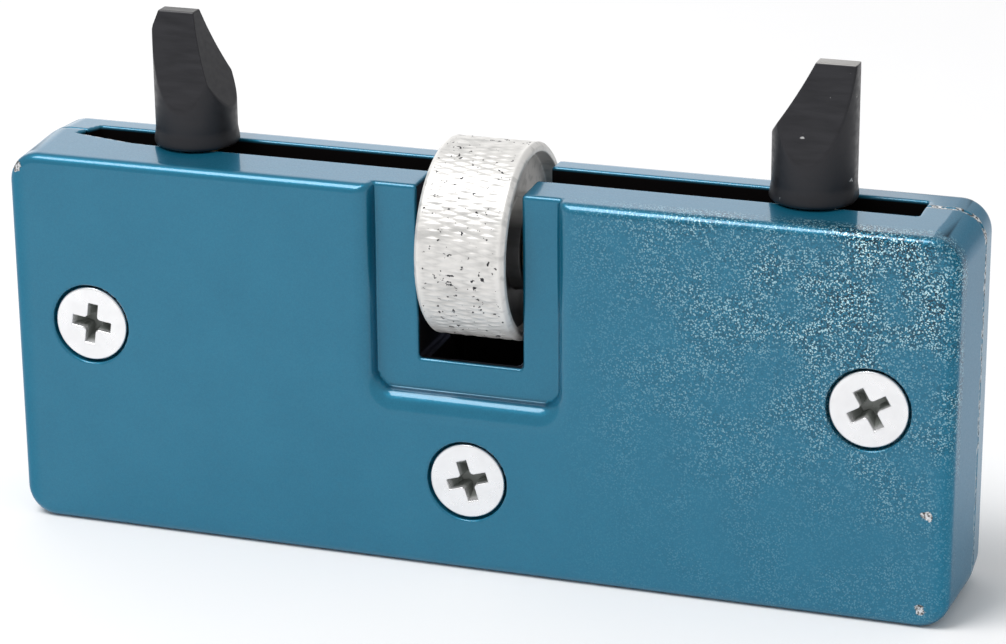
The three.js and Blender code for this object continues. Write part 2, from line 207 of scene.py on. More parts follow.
def cell_quads(inside, index, axis):
    """One quad round each grid edge along the axis that crosses the surface."""
    ends = [slice(None)] * 3
    starts = [slice(None)] * 3
    starts[axis], ends[axis] = slice(0, -1), slice(1, None)
    entering = inside[tuple(ends)] & ~inside[tuple(starts)]
    leaving = inside[tuple(starts)] & ~inside[tuple(ends)]
    one, two = [(1, 2), (2, 0), (0, 1)][axis]
    found = []
    for crossed, turn in ((leaving, 1), (entering, -1)):
        at = np.argwhere(crossed)
        around = []
        for back_one, back_two in ((1, 1), (0, 1), (0, 0), (1, 0)):
            cell = at.copy()
            cell[:, one] -= back_one
            cell[:, two] -= back_two
            around.append(index[tuple(cell.T)])
        found.append(np.stack(around, 1)[:, ::turn])
    return np.concatenate(found)


def field_normals(field, points, reach=0.004):
    """The field's unit normals, and its slope, at the points."""
    slope = sum(t * field(*(points + t * reach).T)[:, None] for t in TETRAHEDRON) / (4 * reach)
    steepness = np.maximum(np.linalg.norm(slope, axis=1, keepdims=True), 1e-6)
    return slope / steepness, steepness


def onto_surface(field, points, limit, rounds=2):
    for _ in range(rounds):
        normals, steepness = field_normals(field, points)
        move = field(*points.T)[:, None] / steepness
        points = points - np.clip(move, -limit, limit) * normals
    return points


def new_mesh(name, vertices, faces):
    """A mesh of faces that all have the same number of corners."""
    mesh = bpy.data.meshes.new(name)
    sides = faces.shape[1]
    mesh.vertices.add(len(vertices))
    mesh.vertices.foreach_set("co", np.asarray(vertices, np.float32).ravel())
    mesh.loops.add(faces.size)
    mesh.loops.foreach_set("vertex_index", faces.ravel().astype(np.int32))
    mesh.polygons.add(len(faces))
    mesh.polygons.foreach_set("loop_start", np.arange(0, faces.size, sides, dtype=np.int32))
    mesh.polygons.foreach_set("use_smooth", np.ones(len(faces), bool))
    mesh.update(calc_edges=True)
    return mesh


def points_of(mesh):
    flat = np.zeros(len(mesh.vertices) * 3, np.float32)
    mesh.vertices.foreach_get("co", flat)
    return flat.reshape(-1, 3).astype(float)


def thinned(mesh, keep):
    """The mesh with its flat stretches simplified to a share of its faces."""
    holder = bpy.data.objects.new("thinning", mesh)
    bpy.context.scene.collection.objects.link(holder)
    decimate = holder.modifiers.new("thin", "DECIMATE")
    decimate.ratio = keep
    graph = bpy.context.evaluated_depsgraph_get()
    result = bpy.data.meshes.new_from_object(holder.evaluated_get(graph))
    bpy.data.objects.remove(holder)
    bpy.data.meshes.remove(mesh)
    return result


def add_object(name, mesh):
    mesh.transform(Matrix.Scale(MM, 4))
    piece = bpy.data.objects.new(name, mesh)
    bpy.context.scene.collection.objects.link(piece)
    return piece


def carved(name, field, low, high, step, keep=0.2):
    """An object whose surface is the field's zero surface, between the corners low and high."""
    vertices, quads = surface_net(field, low, high, step)
    vertices = onto_surface(field, vertices, step)
    mesh = thinned(new_mesh(name, vertices, quads), keep)
    points = onto_surface(field, points_of(mesh), step / 2, rounds=1)
    mesh.vertices.foreach_set("co", points.astype(np.float32).ravel())
    mesh.polygons.foreach_set("use_smooth", np.ones(len(mesh.polygons), bool))
    normals, _ = field_normals(field, points)
    mesh.normals_split_custom_set_from_vertices(normals)
    return add_object(name, mesh)


def revolved(name, profile, count, centre, relief=None):
    """A ring about X whose closed profile is (radius, x). relief(turn, x) is how far each point sinks,
    with turn from 0 to 1, and it is kept on the mesh as the attribute "sunk"."""
    profile = np.array(profile)
    rows = len(profile)
    turn = np.arange(count) / count
    radius = np.broadcast_to(profile[:, 0], (count, rows)).copy()
    sunk = np.zeros((count, rows)) if relief is None else relief(turn[:, None], *profile.T[:, None, :])
    radius -= sunk
    angle = turn[:, None] * 2 * math.pi
    x = np.broadcast_to(profile[:, 1], (count, rows))
    vertices = np.stack([x, radius * np.cos(angle), radius * np.sin(angle)], -1) + centre
    number = np.arange(count * rows).reshape(count, rows)
    after = np.roll(number, -1, 0)
    quads = np.stack([number, np.roll(number, -1, 1), np.roll(after, -1, 1), after], -1).reshape(-1, 4)
    mesh = new_mesh(name, vertices.reshape(-1, 3), quads)
    attribute = mesh.attributes.new("sunk", "FLOAT", "POINT")
    attribute.data.foreach_set("value", sunk.astype(np.float32).ravel())
    return add_object(name, mesh)


def dense(corners, edge, spacing):
    """A closed profile through the corners, each cut off by edge, with points every spacing."""
    corners = np.array(corners, float)
    points = []
    for before, corner, after in zip(np.roll(corners, 1, 0), corners, np.roll(corners, -1, 0)):
        back, ahead = before - corner, after - corner
        near = min(edge, np.linalg.norm(back) / 2.2, np.linalg.norm(ahead) / 2.2)
        start = corner + back / np.linalg.norm(back) * near
        end = corner + ahead / np.linalg.norm(ahead) * near
        for t in (0, 0.25, 0.5, 0.75, 1):
            points.append(start * (1 - t) ** 2 + corner * 2 * t * (1 - t) + end * t * t)
    filled = []
    for here, there in zip(points, points[1:] + points[:1]):
        parts = max(1, math.ceil(np.linalg.norm(there - here) / spacing))
        filled += [here + (there - here) * i / parts for i in range(parts)]
    return filled


# ---- node materials -----------------------------------------------------------------------------

class Material:
    """A Principled material, with short ways to add the nodes that this script uses."""

    def __init__(self, name, **settings):
        self.data = bpy.data.materials.new(name)
        self.data.use_nodes = True
        self.tree = self.data.node_tree
        self.shader = self.tree.nodes["Principled BSDF"]
        for key, value in settings.items():
            self.shader.inputs[key.replace("_", " ").title().replace("Ior", "IOR")].default_value = value
        self.where = self.node("ShaderNodeTexCoord").outputs["Object"]

    def node(self, kind, inputs=(), **settings):
        made = self.tree.nodes.new(kind)
        for key, value in settings.items():
            setattr(made, key, value)
        for key, value in dict(inputs).items():
            if isinstance(value, bpy.types.NodeSocket):
                self.tree.links.new(value, made.inputs[key])
            else:
                made.inputs[key].default_value = value
        return made

    def link(self, output, name):
        self.tree.links.new(output, self.shader.inputs[name])

    def noise(self, scale, detail=2.0, stretch=None):
        where = self.where
        if stretch is not None:
            where = self.vector("MULTIPLY", where, stretch).outputs[0]
        inputs = {"Vector": where, "Scale": scale, "Detail": detail}
        return self.node("ShaderNodeTexNoise", inputs).outputs["Fac"]

    def cells(self, scale):
        """A random colour for each cell of a cell pattern."""
        inputs = {"Vector": self.where, "Scale": scale}
        return self.node("ShaderNodeTexVoronoi", inputs).outputs["Color"]

    def math(self, operation, a, b=0.0):
        return self.node("ShaderNodeMath", {0: a, 1: b}, operation=operation).outputs[0]

    def product(self, first, *others):
        for other in others:
            first = self.math("MULTIPLY", first, other)
        return first

    def vector(self, operation, a, b=(0, 0, 0)):
        return self.node("ShaderNodeVectorMath", {0: a, 1: b}, operation=operation)

    def remap(self, value, low, high, to_low=0.0, to_high=1.0):
        inputs = {"Value": value, "From Min": low, "From Max": high, "To Min": to_low, "To Max": to_high}
        return self.node("ShaderNodeMapRange", inputs, clamp=True).outputs[0]

    def mix(self, share, a, b):
        made = self.node("ShaderNodeMix", {"Factor": share}, data_type="RGBA")
        for socket, value in ((made.inputs[6], a), (made.inputs[7], b)):
            if isinstance(value, bpy.types.NodeSocket):
                self.tree.links.new(value, socket)
            else:
                socket.default_value = (*value, 1)
        return made.outputs[2]

    def bump(self, height, distance, strength=1.0, normal=None):
        inputs = {"Height": height, "Distance": distance, "Strength": strength}
        if normal is not None:
            inputs["Normal"] = normal
        return self.node("ShaderNodeBump", inputs).outputs[0]

    def distance_to(self, point):
        target = [value * MM for value in point]
        return self.vector("DISTANCE", self.where, target).outputs["Value"]

    def distance_from_axle(self):
        level = self.vector("MULTIPLY", self.where, (0, 1, 1)).outputs[0]
        return self.vector("DISTANCE", level, (0, 0, AXLE_Z * MM)).outputs["Value"]

    def along(self, axis):
        return self.node("ShaderNodeSeparateXYZ", {0: self.where}).outputs[axis]

    def facing_up(self):
        normal = self.node("ShaderNodeNewGeometry").outputs["Normal"]
        return self.node("ShaderNodeSeparateXYZ", {0: normal}).outputs["Z"]


def flake_normal(material, scale, tilt):
    """Each cell of a fine cell pattern leans its own way, as metal flakes in paint do."""
    centred = material.vector("SUBTRACT", material.cells(scale), (0.5, 0.5, 0.5)).outputs[0]
    lean = material.vector("MULTIPLY", centred, (tilt, tilt, tilt)).outputs[0]
    normal = material.node("ShaderNodeNewGeometry").outputs["Normal"]
    summed = material.vector("ADD", normal, lean).outputs[0]
    return material.vector("NORMALIZE", summed).outputs[0]


ENAMEL_DEEP = (0.007, 0.138, 0.235)
ENAMEL_PALE = (0.015, 0.180, 0.292)
ENAMEL_EDGE = (0.15, 0.45, 0.65, 1)
# Painted shade in the corner of the thumb recess.
RECESS_PAINTED_SHADE = (0.004, 0.02, 0.04)
# Painted glints and painted dark specks for the flake on part of the front.
FLAKE_PAINTED_GLINT = (0.58, 0.86, 0.92)
FLAKE_PAINTED_SHADE = (0.001, 0.018, 0.034)
FLAKE_CELLS = 13000
# Near black painted shade on the walls inside the slot, window and chamber.
CASE_INSIDE_SHADE = (0.010, 0.008, 0.008)
BARE_METAL = (0.72, 0.73, 0.74)
DIRTY_METAL = (0.05, 0.045, 0.04)

# Each chip in the enamel: x, y, z and radius.
CHIPS = [(31.0, -5.4, 7.94, 0.36), (30.83, -5.35, 1.29, 0.33), (32.15, -5.1, 18.5, 0.13),
         (-31.85, -5.0, 25.3, 0.42), (-32.3, -4.8, 24.2, 0.2), (32.4, 0.9, 25.9, 0.3),
         (31.2, 0.9, 26.5, 0.26), (29.9, 0.9, 26.55, 0.3), (-31.8, 4.0, 2.2, 0.4), (20.5, 4.6, 25.8, 0.3)]


def case_inside_shade(made):
    """1 on the walls of the slot, window and chamber, which get painted shade, 0 on the outside of the case."""
    x = made.math("ABSOLUTE", made.along("X"))
    y, z = made.along("Y"), made.along("Z")
    limits = ((x, 31.6, 31.4), (y, FRONT_Y + 1.15, FRONT_Y + 1.35), (y, REAR_Y - 1.15, REAR_Y - 1.35),
              (z, TOP_Z - 0.12, TOP_Z - 0.3), (z, 1.0, 1.2))
    inside = 1.0
    for value, outer, inner in limits:
        inside = made.math("MINIMUM", inside, made.remap(value, outer * MM, inner * MM))
    return inside


def painted_glint_share(made):
    """Where the flake shows painted glints and painted dark specks: on the front, towards its upper right."""
    right = made.remap(made.along("X"), 6 * MM, 26 * MM)
    front = made.remap(made.along("Y"), (FRONT_Y + 1.9) * MM, (FRONT_Y + 1.3) * MM)
    high = made.remap(made.along("Z"), 6 * MM, 23 * MM, 0.12, 1.0)
    patchy = made.remap(made.noise(330, 3), 0.38, 0.62, 0.25, 1.0)
    return made.product(right, high, front, patchy)


def recess_crease_shade(made):
    """1 in the corner between the floor and the walls of the thumb recess, where the colour is darkened as
    painted shade.
    """
    aside = made.math("ABSOLUTE", made.math("SUBTRACT", made.along("X"), RECESS_MIDDLE * MM))
    y, z = made.along("Y"), made.along("Z")
    off_sides = made.math("SUBTRACT", aside, (RECESS_HALF - 0.1) * MM)
    off_bottom = made.math("SUBTRACT", (RECESS_BOTTOM + 0.3) * MM, z)
    outwards = made.math("MAXIMUM", off_sides, off_bottom)
    floor = FRONT_Y + RECESS_DEPTH
    limits = ((y, FRONT_Y + 0.4, FRONT_Y + 0.85), (y, floor + 0.2, floor + 0.1), (aside, 7.7, 7.5),
              (z, 10.0, 10.4), (z, TOP_Z - 0.4, TOP_Z - 0.8))
    crease = made.remap(outwards, 0.0, 0.4 * MM)
    for value, outer, inner in limits:
        crease = made.product(crease, made.remap(value, outer * MM, inner * MM))
    return crease


def seam_wear(made):
    """A broken line of bare metal along the seam, from the slot's right end and down the right end."""
    off_seam = made.math("ABSOLUTE", made.math("SUBTRACT", made.along("Y"), SEAM_Y * MM))
    near = made.remap(off_seam, 0.42 * MM, 0.26 * MM)
    right = made.remap(made.along("X"), 28 * MM, 29 * MM)
    high = made.remap(made.along("Z"), 2 * MM, 24 * MM, 0.35, 1.0)
    broken = made.remap(made.noise(1300, 3), 0.46, 0.52)
    return made.product(near, broken, right, high)


def bare_share(made):
    """1 where the enamel is gone: in the chips, and along the worn part of the seam."""
    ragged = made.math("MULTIPLY", made.noise(1700, 3), 0.0009)
    bare = seam_wear(made)
    for x, y, z, radius in CHIPS:
        edge = made.math("ADD", made.distance_to((x, y, z)), ragged)
        patch = made.remap(edge, (radius + 0.42) * MM, (radius + 0.48) * MM, 1.0, 0.0)
        bare = made.math("MAXIMUM", bare, patch)
    return bare


def enamel_colour(made):
    """Cloudy blue with fine flake, with painted glints and dark specks on part of it, and painted shade in the
    recess's corner.
    """
    grain = made.cells(FLAKE_CELLS)
    flake = made.product(made.remap(grain, 0.2, 0.9), 0.4)
    cloud = made.product(made.noise(300, 3), 0.6)
    paint = made.mix(made.math("ADD", flake, cloud), ENAMEL_DEEP, ENAMEL_PALE)
    glint_share = painted_glint_share(made)
    paint = made.mix(made.product(made.remap(grain, 0.72, 0.77), glint_share), paint, FLAKE_PAINTED_GLINT)
    paint = made.mix(made.product(made.remap(grain, 0.50, 0.45), glint_share), paint, FLAKE_PAINTED_SHADE)
    return made.mix(made.product(recess_crease_shade(made), 0.8), paint, RECESS_PAINTED_SHADE)


def blue_enamel():
    """Metallic blue enamel under a clear coat that is duller on the case's ends, with bare chips, and near black
    painted shade without clear coat on the walls inside the case.
    """
    made = Material("blue_enamel", metallic=0.5, roughness=0.38, coat_roughness=0.1, coat_ior=1.45,
                    specular_ior_level=0.1, specular_tint=ENAMEL_EDGE)
    bare = bare_share(made)
    speckled = made.mix(made.remap(made.noise(5200, 2), 0.42, 0.58), DIRTY_METAL, BARE_METAL)
    inside = case_inside_shade(made)
    outside = made.mix(bare, enamel_colour(made), speckled)
    # The walls inside the case get painted shade in the base colour and lose the clear coat.
    made.link(made.mix(inside, outside, CASE_INSIDE_SHADE), "Base Color")
    ends = made.remap(made.math("ABSOLUTE", made.along("X")), 31.3 * MM, 32.2 * MM, 1.0, 0.5)
    made.link(made.product(made.math("SUBTRACT", 1.0, inside), ends), "Coat Weight")
    made.link(made.remap(bare, 0, 1, 0.4, 0.5), "Roughness")
    peel = made.bump(made.noise(900, 2), 0.00002, 0.2, flake_normal(made, FLAKE_CELLS, 0.05))
    chipped = made.bump(made.math("SUBTRACT", 1.0, bare), 0.00008, 0.8, peel)
    made.link(chipped, "Normal")
    return made.data


def knurled_metal():
    """Pale bright metal, greyer where the knurl is deep, with black specks, and painted shade inside the rim,
    darker towards its lower part.
    """
    made = Material("knurled_metal", metallic=0.35, roughness=0.42, specular_ior_level=0.5)
    sunk = made.node("ShaderNodeAttribute", attribute_name="sunk").outputs["Fac"]
    speck = made.product(made.remap(made.noise(2700, 2), 0.655, 0.68), made.remap(sunk, 0.0, 0.01))
    valley = made.product(made.remap(sunk, 0.02, 0.09), made.remap(made.noise(900, 2), 0.35, 0.65))
    streak = made.remap(made.noise(1500, 2, (0.3, 1.0, 1.0)), 0.52, 0.66)
    grey = made.product(made.math("MAXIMUM", valley, streak), 0.5)
    metal = made.mix(made.noise(350, 3), (0.70, 0.685, 0.66), (0.84, 0.825, 0.805))
    metal = made.mix(grey, metal, (0.40, 0.40, 0.39))
    # Painted shade on the wall inside the rim, darker below a height in the wheel's own frame.
    hollow = made.remap(made.distance_from_axle(), RIM_INNER * MM, (RIM_INNER - 0.15) * MM)
    low = made.remap(made.along("Z"), 24.8 * MM, 23.6 * MM, 0.25, 0.92)
    metal = made.mix(made.product(hollow, low), metal, (0.02, 0.021, 0.024))
    made.link(made.mix(speck, metal, (0.02, 0.02, 0.025)), "Base Color")
    made.link(made.remap(made.noise(800, 3), 0.3, 0.7, 0.34, 0.5), "Roughness")
    turned = made.noise(900, 2, (9.0, 0.4, 0.4))
    made.link(made.bump(turned, 0.00001, 0.4), "Normal")
    return made.data


def plated_screw():
    """Bright plated steel, dull grey in the cross recess, with small dents from the driver."""
    made = Material("screw_plate", roughness=0.3)
    top = FRONT_Y + HEAD_SINK
    deep = made.remap(made.along("Y"), (top + 0.08) * MM, (top + 0.5) * MM)
    plate = made.mix(made.noise(700, 3), (0.80, 0.80, 0.81), (0.93, 0.93, 0.94))
    made.link(made.mix(deep, plate, (0.22, 0.235, 0.22)), "Base Color")
    made.link(made.remap(deep, 0, 1, 0.85, 0.1), "Metallic")
    made.link(made.remap(made.noise(1100, 4), 0.3, 0.7, 0.22, 0.42), "Roughness")
    made.link(made.bump(made.noise(1300, 3), 0.00003, 0.5), "Normal")
    return made.data


def black_oxide():
    """Blackened hardened steel with grinding marks and a few bright specks, brighter on the blade's end."""
    made = Material("black_oxide", metallic=0.5, roughness=0.42)
    tip = made.remap(made.along("Z"), (CLAW_HIGH[2] - 0.12) * MM, (CLAW_HIGH[2] - 0.03) * MM)
    end_face = made.product(tip, made.remap(made.facing_up(), 0.3, 0.9))
    right_side = made.remap(made.along("X"), -1 * MM, 1 * MM, 0.15, 1.0)
    marks = made.noise(1600, 3, (0.25, 1.0, 1.6))
    dark = made.mix(marks, (0.019, 0.019, 0.022), (0.032, 0.032, 0.037))
    speck = made.product(made.remap(made.noise(1500, 2), 0.74, 0.77), right_side)
    dark = made.mix(speck, dark, (0.5, 0.5, 0.5))
    made.link(made.mix(made.product(end_face, right_side), dark, (0.34, 0.33, 0.32)), "Base Color")
    made.link(made.remap(marks, 0.3, 0.7, 0.34, 0.52), "Roughness")
    made.link(made.bump(marks, 0.00002, 0.2), "Normal")
    return made.data


def plain_metal(name, dark, bright, roughness):
    """Turned or machined metal, slightly uneven in colour, with fine tool marks along its turns."""
    made = Material(name, metallic=1.0, roughness=roughness)
    made.link(made.mix(made.noise(420, 3), dark, bright), "Base Color")
    made.link(made.remap(made.noise(900, 3), 0.3, 0.7, roughness - 0.08, roughness + 0.1), "Roughness")
    made.link(made.bump(made.noise(1500, 2, (6.0, 0.5, 0.5)), 0.00001, 0.5), "Normal")
    return made.data


MATERIALS = {
    "blue_enamel": blue_enamel(),
    "knurled_metal": knurled_metal(),
    "screw_plate": plated_screw(),
    "black_oxide": black_oxide(),
    "bright_steel": plain_metal("bright_steel", (0.42, 0.42, 0.43), (0.56, 0.56, 0.57), 0.3),
    "brass": plain_metal("brass", (0.48, 0.31, 0.10), (0.62, 0.42, 0.17), 0.32),
}


def fit(piece, node, body, slot):
    """The piece stands for the CAD node, moves with the body and has the slot's material."""
    piece.data.materials.clear()
    piece.data.materials.append(MATERIALS[slot])
    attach(piece, body)
    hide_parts(node)


# ---- case shells --------------------------------------------------------------------------------

def case_hollow(x, y, z):
    """The space inside both shells, less the webs, shelves, ledges and bosses."""
    plan = rectangle(x, z, (-HALF_LENGTH + END_WALL, HALF_LENGTH - END_WALL),
                     (BOTTOM_WALL, TOP_Z - TOP_WALL), 0.4)
    away = abs(x)
    wall = span(away, WINDOW_HALF - 0.5, WEB_OUTER)
    wall = either(wall, rectangle(away, z, (WEB_OUTER - 1, HALF_LENGTH), (SHELF_LOW, SHELF_HIGH)), 0.3)
    wall = either(wall, rectangle(away, z, (29.0, HALF_LENGTH), (SHELF_LOW, LEDGE_HIGH)))
    for place in COVER_SCREWS.values():
        wall = either(wall, length(x - place[0], z - place[2]) - BOSS_RADIUS, 0.3)
    for place in DOWELS.values():
        wall = either(wall, length(x - place[0], z - place[2]) - 1.95)
    plan = without(plan, wall, 0.2)
    return both(plan, span(y, FRONT_Y + FACE_WALL, REAR_Y - FACE_WALL), 0.2)


def thumb_recess(x, z, depth):
    """The U round the window, its walls rolling over to the face: depth is measured inwards from there."""
    rise = np.clip(1 - depth / RECESS_DEPTH, 0, 1)
    flare = 1 - np.sqrt(1 - rise * rise * 0.96)
    side = RECESS_HALF + RECESS_SIDE_FLARE * flare
    bottom = RECESS_BOTTOM - RECESS_BOTTOM_FLARE * flare
    corner = RECESS_CORNER + RECESS_CORNER_FLARE * flare
    outline = rectangle(x - RECESS_MIDDLE, z, (-side, side), (bottom, TOP_Z + 20), corner)
    return both(outline * 0.8, depth - RECESS_DEPTH, 0.06)


def lead_screw_passage(x, y, z):
    round_part = length(y, z - AXLE_Z) - SCREW_RADIUS - 0.25
    straight = rectangle(y, z, (0, SCREW_RADIUS + 0.25),
                         (AXLE_Z - SCREW_RADIUS - 0.25, AXLE_Z + SCREW_RADIUS + 0.25))
    return both(either(round_part, straight), abs(x) - WEB_OUTER - 1)


def cover_screw_hole(x, y, z, place):
    away = length(x - place[0], z - place[2])
    depth = y - FRONT_Y
    cone = (away - HEAD_HOLE_RADIUS + depth - 0.4) * 0.7
    head = both(both(away - HEAD_HOLE_RADIUS, cone), depth - 3)
    shank = both(away - SHANK_RADIUS - 0.2, y - SEAM_Y)
    tapped = both(away - SHANK_RADIUS - 0.04, y - (REAR_Y - 1.4))
    return either(either(head, shank), tapped)


def shell(x, y, z):
    """Both halves of the case together, before they are parted at the seam."""
    half = HALF_LENGTH - END_DRAFT * abs(y - SEAM_Y)
    top = TOP_Z - TOP_DRAFT * abs(y - SLOT_Y)
    outline = rectangle(x, z, (-half, half), (0, top), CORNER_RADIUS)
    body = both(outline, FRONT_Y - y, FRONT_EDGE)
    body = both(body, y - REAR_Y, REAR_EDGE)
    body = without(body, case_hollow(x, y, z))
    body = without(body, thumb_recess(x, z, y - FRONT_Y), 0.3)
    body = without(body, thumb_recess(x, z, REAR_Y - y), 0.3)
    window = rectangle(x, z, (-WINDOW_HALF, WINDOW_HALF), (WINDOW_BOTTOM, TOP_Z + 20), 0.25)
    body = without(body, window, 0.22)
    slot_front = SLOT_Y - SLOT_WIDTH / 2
    slot = rectangle(x, y, (-SLOT_RIGHT - 2, SLOT_RIGHT), (slot_front, slot_front + SLOT_WIDTH), 0.2)
    tip_x, tip_y = SLOT_TIP
    taper = tip_y / (SLOT_TAPER_START - tip_x)
    slot = both(slot, slot_front + taper * (SLOT_TAPER_START - x) - y, 0.1)
    slot = both(slot, tip_x + SLOT_END_SLOPE * (y - slot_front - tip_y) - x, 0.1)
    body = without(body, both(slot, TOP_Z - TOP_WALL - 0.5 - z), 0.2)
    body = without(body, lead_screw_passage(x, y, z))
    for place in COVER_SCREWS.values():
        body = without(body, cover_screw_hole(x, y, z, place), 0.12)
    for place in DOWELS.values():
        hole = rod(x - place[0], z - place[2], y, 1.02, FRONT_Y + 2.8, REAR_Y - 1.4)
        body = without(body, hole)
    return body


def front_shell(x, y, z):
    return both(shell(x, y, z), y - SEAM_Y, SEAM_EDGE)


def rear_shell(x, y, z):
    return both(shell(x, y, z), REAR_LOW[1] - y, SEAM_EDGE)


def add_shells():
    step = 0.2
    for node, field, (low, high) in (("front_shell", front_shell, (FRONT_LOW, FRONT_HIGH)),
                                     ("rear_shell", rear_shell, (REAR_LOW, REAR_HIGH))):
        piece = carved(f"{node}_cast", field, low, high, step, 0.25)
        fit(piece, node, "case", "blue_enamel")


# ---- fasteners, dowels and bearings -------------------------------------------------------------

CROSS_ANGLES = {"left": -8, "right": 30, "bottom": 17}


def cover_screw(place, angle):
    """A countersunk screw with a tapered cross recess and a threaded shank."""
    turn = math.radians(angle)
    low, high = FRONT_Y + HEAD_SINK, extent("cover_screw_left")[1][1]

    def field(x, y, z):
        u, v = x - place[0], z - place[2]
        away, depth = length(u, v), y - low
        head = both(away - HEAD_RADIUS, (away - HEAD_RADIUS + depth - 0.25) * 0.707, 0.1)
        groove = abs(((y / 0.5 - np.arctan2(v, u) / (2 * math.pi)) % 1) - 0.5) * 2
        threaded = np.where(depth > 2.6, 0.22 * groove, 0.0)
        shank = away - SHANK_RADIUS + threaded
        body = both(either(head, shank), span(y, low, high), 0.14)
        across, up = u * math.cos(turn) + v * math.sin(turn), v * math.cos(turn) - u * math.sin(turn)
        reach = 1.45 - depth * 0.45
        arms = either(both(abs(across) - 0.36 + depth * 0.08, abs(up) - reach),
                      both(abs(up) - 0.36 + depth * 0.08, abs(across) - reach), 0.25)
        recess = both(arms, depth - 1.35)
        return without(body, recess, 0.07)

    return field


def add_cover_screws():
    step = 0.06
    for place, angle in CROSS_ANGLES.items():
        node = f"cover_screw_{place}"
        low, high = extent(node)
        piece = carved(f"{node}_phillips", cover_screw(middle(node), angle), low, high, step, 0.25)
        fit(piece, node, "case", "screw_plate")


def add_dowels():
    for side in SIDES:
        node = f"dowel_{side}"
        low, high = extent(node)
        place, radius = middle(node), size(node)[0] / 2

        def field(x, y, z):
            return rod(x - place[0], z - place[2], y, radius, low[1], high[1], 0.2)

        fit(carved(f"{node}_ground", field, low, high, 0.12, 0.3), node, "case", "bright_steel")


def add_end_bearings():
    for side in SIDES:
        node = f"end_bearing_{side}"
        low, high = extent(node)

        def field(x, y, z):
            outline = rectangle(y, z, (low[1], high[1]), (low[2], high[2]), 0.3)
            plate = both(outline, span(x, low[0], high[0]), 0.15)
            return without(plate, length(y, z - AXLE_Z) - 1.3, 0.12)

        fit(carved(f"{node}_plate", field, low, high, 0.13, 0.3), node, "case", "brass")


# ---- wheel and lead screw -----------------------------------------------------------------------

KNURLS = 84
KNURL_DEPTH = 0.12
KNURL_TILT = math.tan(math.radians(15))
PLAIN_RIM = 0.42


def zigzag(value):
    """0 at whole numbers, 1 halfway between them."""
    return 1 - 2 * abs(value % 1 - 0.5)


def knurl(turn, radius, x):
    """Two families of V grooves cross on the rim, and leave a plain band at each side of it."""
    around = turn * KNURLS
    across = x * KNURL_TILT * KNURLS / (2 * math.pi * WHEEL_RADIUS)
    groove = np.maximum(1 - zigzag(around + across), 1 - zigzag(around - across))
    deep = np.clip((groove - 0.12) / 0.88, 0, 1)
    rim = ease((radius - WHEEL_RADIUS + 0.12) / 0.1)
    inner = ease((WHEEL_HALF - PLAIN_RIM - abs(x)) / 0.2)
    uneven = 0.75 + 0.25 * np.sin(turn * 151 + x * 2.3) * np.sin(turn * 67 - x * 1.7)
    return KNURL_DEPTH * deep * rim * inner * uneven


def add_wheel():
    rise = 2 * math.pi * WHEEL_RADIUS / KNURLS / KNURL_TILT / 6
    half = [(1.8, WHEEL_HALF), (3.2, WHEEL_HALF), (3.25, WHEEL_HALF - 1.0), (RIM_INNER - 0.05, WHEEL_HALF - 1.0),
            (RIM_INNER, WHEEL_HALF), (WHEEL_RADIUS - 0.28, WHEEL_HALF), (WHEEL_RADIUS, WHEEL_HALF - 0.28)]
    corners = [(r, -x) for r, x in half] + half[::-1]
    profile = dense(corners, 0.1, rise)
    piece = revolved("adjusting_wheel_knurled", profile, KNURLS * 6, (0, 0, AXLE_Z), knurl)
    fit(piece, "adjusting_wheel", "wheel", "knurled_metal")


def screw_thread(turn, radius, x):
    """A V thread of opposite hand on each half, clear of the wheel's seat and the end shoulders."""
    hand = np.where(x > 0, 1.0, -1.0)
    groove = zigzag(x / THREAD_PITCH - hand * turn)
    cut = 0.613 * THREAD_PITCH * np.clip(groove * 1.25 - 0.125, 0, 1)
    away = abs(x)
    return cut * ease((away - 5.6) / 0.6) * ease((28.5 - away) / 0.4) * (radius > SCREW_RADIUS - 0.01)


def add_lead_screw():
    end = extent("lead_screw")[1][0]
    half = [(0.02, end), (0.95, end), (1.25, end - 0.3), (1.25, 28.9), (1.4, 28.85), (SCREW_RADIUS, 28.55)]
    corners = [(r, -x) for r, x in half] + half[::-1]
    profile = dense(corners, 0.06, THREAD_PITCH / 6)
    piece = revolved("lead_screw_threaded", profile, 32, (0, 0, AXLE_Z), screw_thread)
    fit(piece, "lead_screw", "wheel", "bright_steel")


def add_wheel_pin():
    low, high = extent("wheel_pin")
    radius = size("wheel_pin")[0] / 2

    def field(x, y, z):
        return rod(x, y, z, radius, low[2], high[2], 0.15)

    fit(carved("wheel_pin_roll", field, low, high, 0.09, 0.4), "wheel_pin", "wheel", "bright_steel")


def add_thrust_washers():
    for side in SIDES:
        node = f"thrust_washer_{side}"
        low, high = extent(node)
        corners = [(1.8, low[0]), (3.0, low[0]), (3.0, high[0]), (1.8, high[0])]
        profile = dense(corners, 0.08, 0.3)
        piece = revolved(f"{node}_ring", profile, 64, (0, 0, AXLE_Z))
        fit(piece, node, "wheel", "brass")


# ---- carriages and claws ------------------------------------------------------------------------

CLAW_SHANK = 2.78
BLADE_HALF = 0.55
WEDGE_DROP = 6.4
CORNER_DROP = 1.6

# For each claw: how far the blade reaches past the axis towards the wheel, how far the slant drops,
# the radius of its hollow, and what is ground off the outer corner.
GRINDS = {
    "left": (0.28, 6.4, 22.0, 0.5),
    "right": (-0.05, 4.8, 28.0, 0.0),
}


